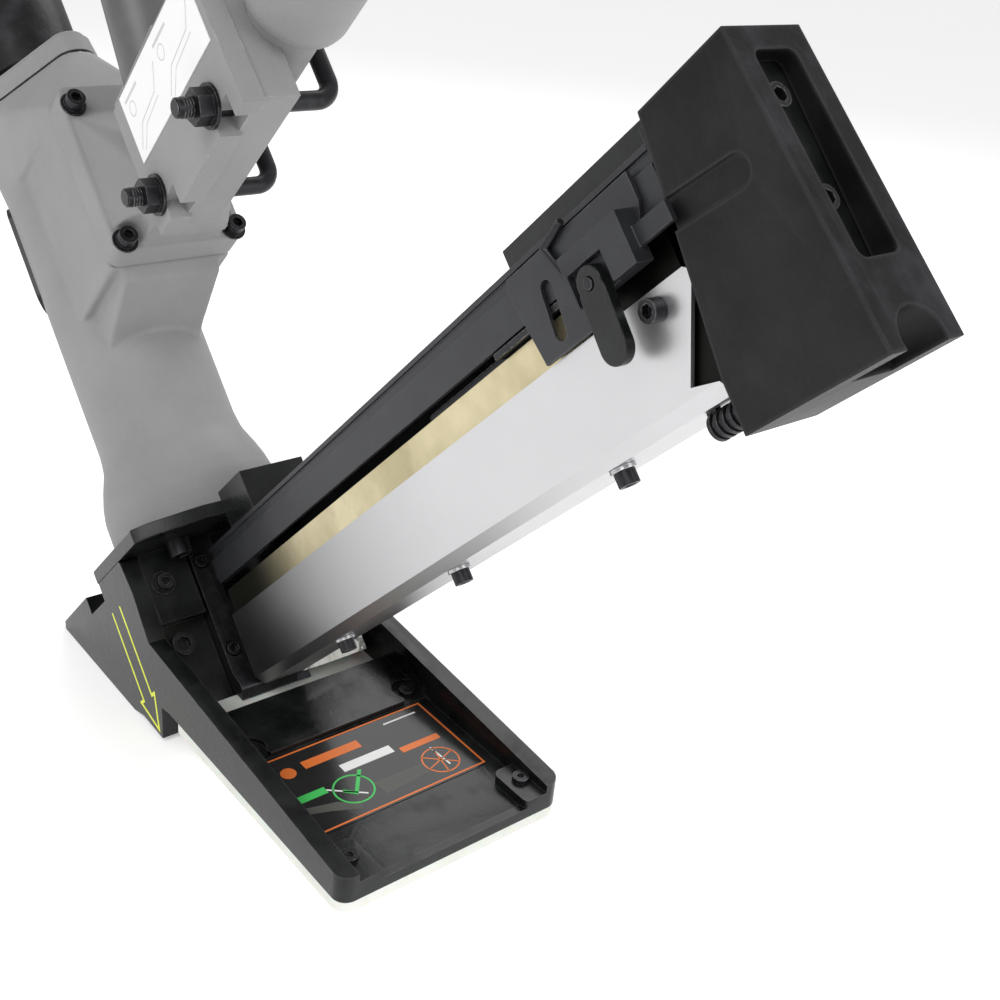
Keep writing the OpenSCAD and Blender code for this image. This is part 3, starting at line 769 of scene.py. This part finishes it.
def bracket_print():
    """Fine grey lines that show a handle twice, with bars in place of words."""
    fine, faint = 0.6, 0.5
    knob_radius, word_length = 3.2, 16.0
    lines = []
    for left, right in ((160.0, 196.0), (200.0, 238.0)):
        upper = [(left, 228.0), (left + 9.0, 236.0), (right - 8.0, 238.0), (right, 247.0)]
        lower = [(left + 3.0, 226.0), (left + 12.0, 233.0), (right - 6.0, 235.0)]
        lines += stroke(upper, fine) + stroke(lower, faint)
        lines += stroke(ring((left + 5.0, 245.0), knob_radius, 24), faint, closed=True)
        lines += [bar(left, 250.0, left + word_length, 251.4)]
    printed("bracket_print", "bracket_label", "ink_line", lines, on_bracket, INK_MIDDLE)


# Up the magazine and up the driver, in millimetres, where the two hook bolts end.
HOOK_ENDS = ((157.0, 207.5), (225.0, 206.5))


def hook_threads():
    """Threads on the ends of the hook bolts, outside their nuts."""
    start, end, pitch, radius = -43.2, -49.2, 1.25, 4.0
    crest, root, chamfer = 0.25, -0.45, 1.2
    steps = int((start - end) / pitch * 2)
    profile = [(radius - 0.1, start)]
    for k in range(1, steps):
        profile.append((radius + (crest if k % 2 else root), start - k * pitch / 2))
    profile.append((radius - 0.6, end - chamfer))
    turn = Matrix.Rotation(math.radians(-90), 4, "X")
    for index, (a, c) in enumerate(HOOK_ENDS):
        place = TOOL @ Matrix.Translation((a * MM, 0, c * MM)) @ turn
        piece = shade(turned(f"hook_thread_{index + 1}", profile, 32, place), 20)
        hand_over(piece, "hook_bolts", replace=False)


class NAILER_OT_handle(bpy.types.Operator):
    """Build the handle, its bracket, hooks and extension"""

    bl_idname = "nailer.handle"
    bl_label = "Handle"

    def execute(self, context):
        sizes = context.scene.nailer_sizes
        moulded("handle_housing", 0.8 * sizes.casting_voxel, rounds=7)
        moulded("end_cap", 0.8, rounds=4)
        dressed("clamp_bracket", 0.9, 3)
        dress_all({"extension_tube": 0.5, "extension_grip": 0.6})
        flat_label("bracket_label")
        bracket_print()
        for node in ("hook_bolts", "hook_nuts", "flange_screws"):
            dressed(node, sizes.screw_edge)
        hook_threads()
        dress_all({"handle_gasket": 0.1, "air_plug": 0.3})
        return {"FINISHED"}


# ---------------------------------------------------------------- magazine


class NAILER_OT_magazine(bpy.types.Operator):
    """Build the magazine, its cover, strips and bolts, and the boot"""

    bl_idname = "nailer.magazine"
    bl_label = "Magazine"

    def execute(self, context):
        sizes = context.scene.nailer_sizes
        dress_all({"magazine_rail": 0.35, "magazine_track": 0.35, "magazine_cover": 0.35})
        dressed("top_strip", 0.35, finish="black_casting")
        for node in ("cover_bolts", "lock_washers", "side_bolt", "knurled_screw", "boot_screws"):
            dressed(node, sizes.screw_edge)
        dressed("end_bracket", 0.6)
        dressed("rubber_boot", 1.5, 3)
        return {"FINISHED"}


class NAILER_OT_pusher(bpy.types.Operator):
    """Build the pusher, its block, hook and lever"""

    bl_idname = "nailer.pusher"
    bl_label = "Pusher"

    def execute(self, context):
        dressed("pusher_foot", 0.5, finish="black_oxide")
        dress_all({"pusher_plate": 0.3, "pusher_block": 0.6, "wire_hook": 0.1})
        dressed("lever_pin", 0.2, finish="black_oxide")
        dressed("pusher_lever", 0.8, 3)
        return {"FINISHED"}


# ---------------------------------------------------------------- stage


FLOOR_HALF = 30.0
FLOOR_DROP = 0.0002
WHITE = (1.0, 1.0, 1.0)
# Name of a light, its place, its width and length, and its power beside the key light's.
LIGHTS = (
    ("key", (0.35, -1.1, 1.5), (1.1, 1.1), 1.0),
    ("rim", (-0.9, 0.9, 1.2), (1.2, 0.8), 0.6),
    ("side", (1.4, 0.5, 0.7), (0.5, 1.2), 0.5),
)


def area_light(name, place, target, size, power):
    """A soft white light at place, turned to target."""
    data = bpy.data.lights.new(name, "AREA")
    data.shape = "RECTANGLE"
    data.size, data.size_y = size
    data.energy = power
    lamp = bpy.data.objects.new(name, data)
    lamp.location = place
    lamp.rotation_euler = (Vector(target) - Vector(place)).to_track_quat("-Z", "Y").to_euler()
    bpy.context.scene.collection.objects.link(lamp)
    return lamp


def pale_floor(height, glow):
    """A white floor that gives off a little light."""
    form = bmesh.new()
    bmesh.ops.create_grid(form, x_segments=4, y_segments=4, size=FLOOR_HALF)
    floor = link("floor", form)
    floor.location.z = height
    paint = Finish("floor_paint")
    spots = paint.noise(3, 3)
    paint.set(Base_Color=paint.mix(spots, (0.93, 0.93, 0.93), (0.96, 0.96, 0.96)), Roughness=0.9,
              Emission_Color=WHITE, Emission_Strength=glow)
    floor.data.materials.append(paint.material)


def white_surround(strength):
    """An even white world."""
    world = bpy.data.worlds.new("studio")
    bpy.context.scene.world = world
    world.use_nodes = True
    sky = world.node_tree.nodes["Background"]
    sky.inputs["Color"].default_value = (*WHITE, 1.0)
    sky.inputs["Strength"].default_value = strength


def set_camera(place, turn, lens):
    """The scene's camera."""
    data = bpy.data.cameras.new("camera")
    data.lens = lens
    data.clip_start = 0.01
    camera = bpy.data.objects.new("camera", data)
    camera.location = place
    camera.rotation_euler = Euler(turn, "XYZ")
    bpy.context.scene.collection.objects.link(camera)
    bpy.context.scene.camera = camera


class NAILER_OT_stage(bpy.types.Operator):
    """Set the floor, the soft lights and the camera"""

    bl_idname = "nailer.stage"
    bl_label = "Stage"

    def execute(self, context):
        stage = context.scene.nailer_stage
        low, high = CAD_BOX
        pale_floor(low[2] - FLOOR_DROP, stage.floor_glow)
        white_surround(stage.sky)
        context.scene.view_settings.view_transform = "Standard"
        middle = 0.5 * (Vector(low) + Vector(high))
        for name, place, size, share in LIGHTS:
            area_light(name, place, middle, size, share * stage.key)
        set_camera(stage.camera_at, stage.camera_turn, stage.lens)
        return {"FINISHED"}


# ---------------------------------------------------------------- settings and panel


class NailerSizes(bpy.types.PropertyGroup):
    """Radii and grids of the finished shapes"""

    casting_edge: FloatProperty(name="Casting edge", description="Radius of cast edges in mm",
                                default=1.0)
    casting_voxel: FloatProperty(name="Casting detail", description="Grid of the grey castings in mm",
                                 default=1.2)
    screw_edge: FloatProperty(name="Screw edge", description="Radius of screw edges in mm", default=0.3)


class NailerColours(bpy.types.PropertyGroup):
    """Colours of the paints and the rubber"""

    grey_coat: FloatVectorProperty(name="Grey coat", description="Powder coat of the body", subtype="COLOR",
                                   default=(0.27, 0.27, 0.275))
    black_paint: FloatVectorProperty(name="Black paint", description="Paint of the base and nose",
                                     subtype="COLOR", default=(0.0045, 0.0050, 0.0052))
    rail_coat: FloatVectorProperty(name="Rail coat", description="Coat of the magazine rail", subtype="COLOR",
                                   default=(0.026, 0.027, 0.031))
    rubber: FloatVectorProperty(name="Rubber", description="Rubber of the boot and cap", subtype="COLOR",
                                default=(0.0042, 0.0042, 0.0048))


class NailerStage(bpy.types.PropertyGroup):
    """Camera and light"""

    camera_at: FloatVectorProperty(name="Camera", description="Place of the camera", unit="LENGTH",
                                   default=(0.4048, -0.2877, 0.4067))
    camera_turn: FloatVectorProperty(name="Camera turn", description="Turn of the camera", subtype="EULER",
                                     default=tuple(math.radians(t) for t in (62.534, -5.155, 51.133)))
    lens: FloatProperty(name="Lens", description="Focal length in mm", default=47.06)
    key: FloatProperty(name="Key light", description="Power of the key light", unit="POWER", default=13.0)
    floor_glow: FloatProperty(name="Floor glow", description="Light that the white floor gives off",
                              default=0.34)
    sky: FloatProperty(name="Sky", description="Strength of the white surround", default=0.56)


OPERATORS = (NAILER_OT_stage, NAILER_OT_base, NAILER_OT_nose, NAILER_OT_body, NAILER_OT_handle,
             NAILER_OT_magazine, NAILER_OT_pusher)


class NAILER_PT_pieces(bpy.types.Panel):
    """The nailer's settings and the buttons that build it"""

    bl_label = "Flooring Nailer"
    bl_idname = "NAILER_PT_pieces"
    bl_space_type = "VIEW_3D"
    bl_region_type = "UI"
    bl_category = "Nailer"

    def draw(self, context):
        for group in (context.scene.nailer_sizes, context.scene.nailer_colours, context.scene.nailer_stage):
            for key in group.bl_rna.properties.keys():
                if key not in ("rna_type", "name"):
                    self.layout.prop(group, key)
        for operator in OPERATORS:
            self.layout.operator(operator.bl_idname)


CLASSES = (NailerSizes, NailerColours, NailerStage, *OPERATORS, NAILER_PT_pieces)


def register():
    for item in CLASSES:
        bpy.utils.register_class(item)
    bpy.types.Scene.nailer_sizes = PointerProperty(type=NailerSizes)
    bpy.types.Scene.nailer_colours = PointerProperty(type=NailerColours)
    bpy.types.Scene.nailer_stage = PointerProperty(type=NailerStage)


def unregister():
    del bpy.types.Scene.nailer_stage
    del bpy.types.Scene.nailer_colours
    del bpy.types.Scene.nailer_sizes
    for item in reversed(CLASSES):
        bpy.utils.unregister_class(item)


def main():
    register()
    for operator in OPERATORS:
        group, name = operator.bl_idname.split(".")
        getattr(getattr(bpy.ops, group), name)()


if __name__ == "__main__":
    main()
